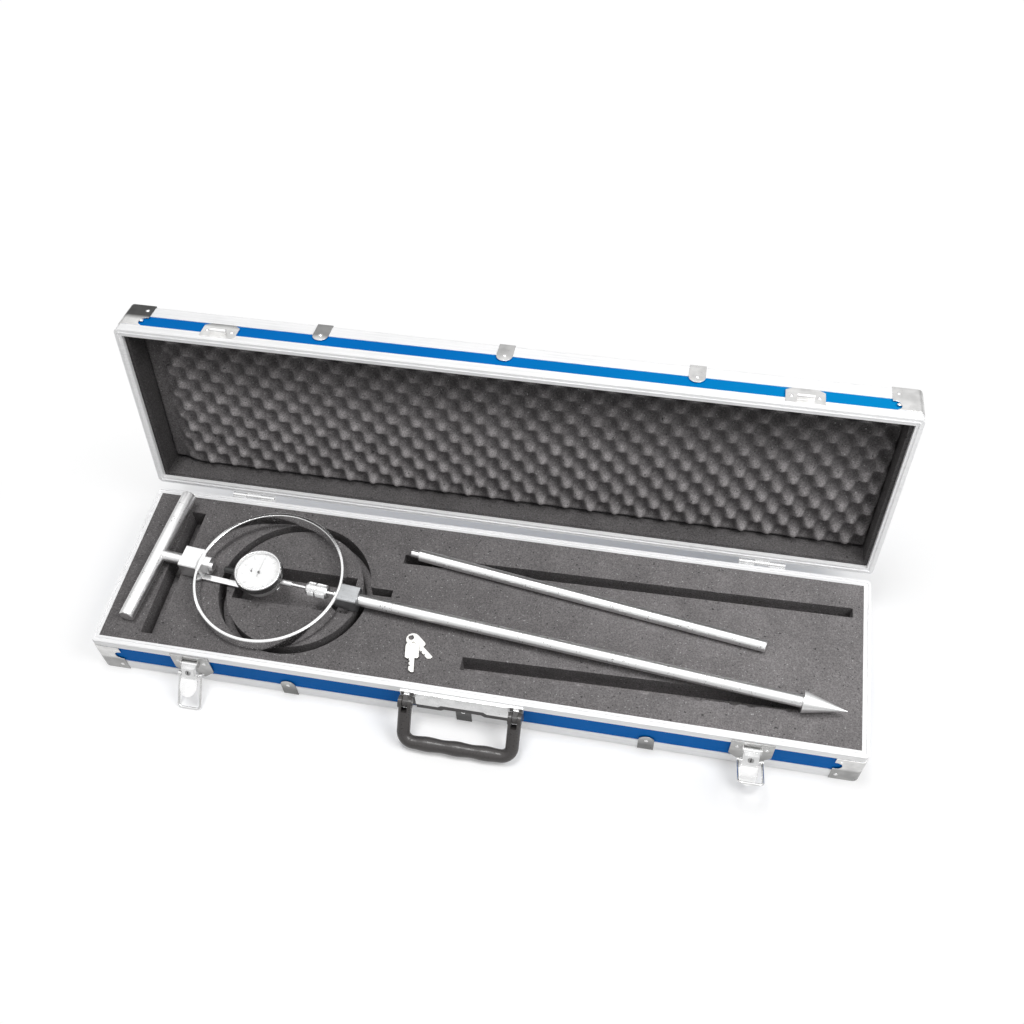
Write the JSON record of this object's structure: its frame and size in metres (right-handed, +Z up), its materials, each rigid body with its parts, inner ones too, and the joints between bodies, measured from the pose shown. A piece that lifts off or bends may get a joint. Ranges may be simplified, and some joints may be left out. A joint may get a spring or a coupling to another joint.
{
  "type": "soil penetrometer",
  "caption": "Soil penetrometer with cross handle, proving ring and dial gauge, cone point and extension rod, in an open foam-lined aluminium carrying case.",
  "frame": {"origin": "centre of the case's underside, on the plane it stands on", "axes": "+X along the case towards the cone's end, +Y towards the hinges, +Z up"},
  "size_m": [0.9898, 0.4138, 0.3272],
  "materials": {
    "blue_board": "fine-grained blue laminate on plywood",
    "case_aluminium": "satin anodised extrusion",
    "case_steel": "nickel-plated pressed steel",
    "rivet": "polished",
    "foam": "open-cell charcoal foam",
    "handle_black": "glossy moulded black",
    "bright_steel": "bright nickel plate",
    "dark_steel": "plain steel",
    "dial_white": "satin dial face",
    "dial_black": "lacquered black",
    "crystal": "clear crystal",
    "brass": "nickel brass"
  },
  "bodies": {
    "case": {"base_boards": "blue_board", "base_floor_board": "blue_board", "base_rim": "case_aluminium", "base_rim_corners": "case_steel", "base_edge_strips": "case_aluminium", "base_corner_caps": "case_steel", "base_clips": "case_steel", "base_rivets": "rivet", "base_foam_lower": "foam", "base_foam_upper": "foam", "hinge_base_leaves": "case_steel", "hinge_pins": "dark_steel", "handle_bracket": "handle_black", "handle_cover": "bright_steel", "latch_plates": "case_steel", "latch_pins": "dark_steel"},
    "lid": {"lid_boards": "blue_board", "lid_top_board": "blue_board", "lid_rim": "case_aluminium", "lid_rim_corners": "case_steel", "lid_edge_strips": "case_aluminium", "lid_corner_caps": "case_steel", "lid_clips": "case_steel", "lid_rivets": "rivet", "lid_strikes": "case_steel", "lid_lining": "foam", "lid_egg_foam": "foam", "hinge_lid_leaves": "case_steel"},
    "handle": {"handle_grip": "handle_black", "handle_pins": "dark_steel"},
    "left_lever": {"left_lever": "bright_steel", "left_loop_pin": "dark_steel"},
    "right_lever": {"right_lever": "bright_steel", "right_loop_pin": "dark_steel"},
    "left_loop": {"left_loop": "bright_steel"},
    "right_loop": {"right_loop": "bright_steel"},
    "left_lock": {"left_lock": "dark_steel"},
    "right_lock": {"right_lock": "dark_steel"},
    "penetrometer": {"cross_handle": "bright_steel", "handle_stem": "bright_steel", "upper_block": "bright_steel", "ring_nut": "bright_steel", "proving_ring": "bright_steel", "gauge_arm": "bright_steel", "gauge_screws": "dark_steel", "gauge_body": "bright_steel", "gauge_cap": "handle_black", "gauge_dial": "dial_white", "anvil": "bright_steel", "anvil_pin": "bright_steel", "lower_block": "bright_steel", "main_rod": "bright_steel", "cone_point": "bright_steel"},
    "bezel": {"gauge_bezel": "bright_steel", "gauge_glass": "crystal"},
    "plunger": {"gauge_plunger": "bright_steel"},
    "pointer": {"gauge_pointer": "dial_black"},
    "counter": {"gauge_counter": "dial_black"},
    "extension_rod": {"extension_rod": "bright_steel"},
    "keys": {"keys": "brass"}
  },
  "joints": [
    {"name": "lid_hinge", "type": "hinge", "parent": "case", "child": "lid", "pos_m": [0, 0.1329, 0.0652], "axis": [-1, 0, 0], "range_deg": [-99.3, 0], "deforming": ["lid_egg_foam"]},
    {"name": "handle_hinge", "type": "hinge", "parent": "case", "child": "handle", "pos_m": [0, -0.14, 0.051], "axis": [1, 0, 0], "range_deg": [-55, 36]},
    {"name": "left_lever_hinge", "type": "hinge", "parent": "case", "child": "left_lever", "pos_m": [-0.358, -0.1325, 0.0495], "axis": [-1, 0, 0], "range_deg": [-26, 108]},
    {"name": "left_loop_hinge", "type": "hinge", "parent": "left_lever", "child": "left_loop", "pos_m": [-0.358, -0.13951, 0.03512], "axis": [1, 0, 0], "range_deg": [-148, 24]},
    {"name": "left_lock_turn", "type": "hinge", "parent": "left_lever", "child": "left_lock", "pos_m": [-0.358, -0.13653, 0.04123], "axis": [0, -0.8988, 0.4384], "range_deg": [0, 90]},
    {"name": "right_lever_hinge", "type": "hinge", "parent": "case", "child": "right_lever", "pos_m": [0.358, -0.1325, 0.0495], "axis": [-1, 0, 0], "range_deg": [-26, 108]},
    {"name": "right_loop_hinge", "type": "hinge", "parent": "right_lever", "child": "right_loop", "pos_m": [0.358, -0.13951, 0.03512], "axis": [1, 0, 0], "range_deg": [-72, 100]},
    {"name": "right_lock_turn", "type": "hinge", "parent": "right_lever", "child": "right_lock", "pos_m": [0.358, -0.13653, 0.04123], "axis": [0, -0.8988, 0.4384], "range_deg": [0, 90]},
    {"name": "penetrometer_lift", "type": "slide", "parent": "case", "child": "penetrometer", "axis": [0, 0, 1], "range_m": [0, 0.3]},
    {"name": "extension_rod_lift", "type": "slide", "parent": "case", "child": "extension_rod", "axis": [0, 0, 1], "range_m": [0, 0.3]},
    {"name": "keys_lift", "type": "slide", "parent": "case", "child": "keys", "axis": [0, 0, 1], "range_m": [0, 0.3]},
    {"name": "plunger_slide", "type": "slide", "parent": "penetrometer", "child": "plunger", "axis": [-0.9957, 0.0931, 0], "range_m": [0, 0.005], "stiffness_N_per_m": 150, "springref_m": -0.003},
    {"name": "bezel_turn", "type": "hinge", "parent": "penetrometer", "child": "bezel", "pos_m": [-0.29518, -0.00652, 0.08922], "axis": [-0.0036, -0.0382, 0.9993], "continuous": true},
    {"name": "pointer_turn", "type": "hinge", "parent": "penetrometer", "child": "pointer", "pos_m": [-0.29518, -0.00652, 0.08922], "axis": [-0.0036, -0.0382, 0.9993], "range_deg": [-1810, 10]},
    {"name": "counter_turn", "type": "hinge", "parent": "penetrometer", "child": "counter", "pos_m": [-0.30613, -0.0055, 0.08922], "axis": [-0.0036, -0.0382, 0.9993], "range_deg": [-2, 182]}
  ],
  "couplings": [
    {"joint": "pointer_turn", "follows": "plunger_slide", "rad_per_m": -6283.2},
    {"joint": "counter_turn", "follows": "plunger_slide", "rad_per_m": 628.32}
  ]
}
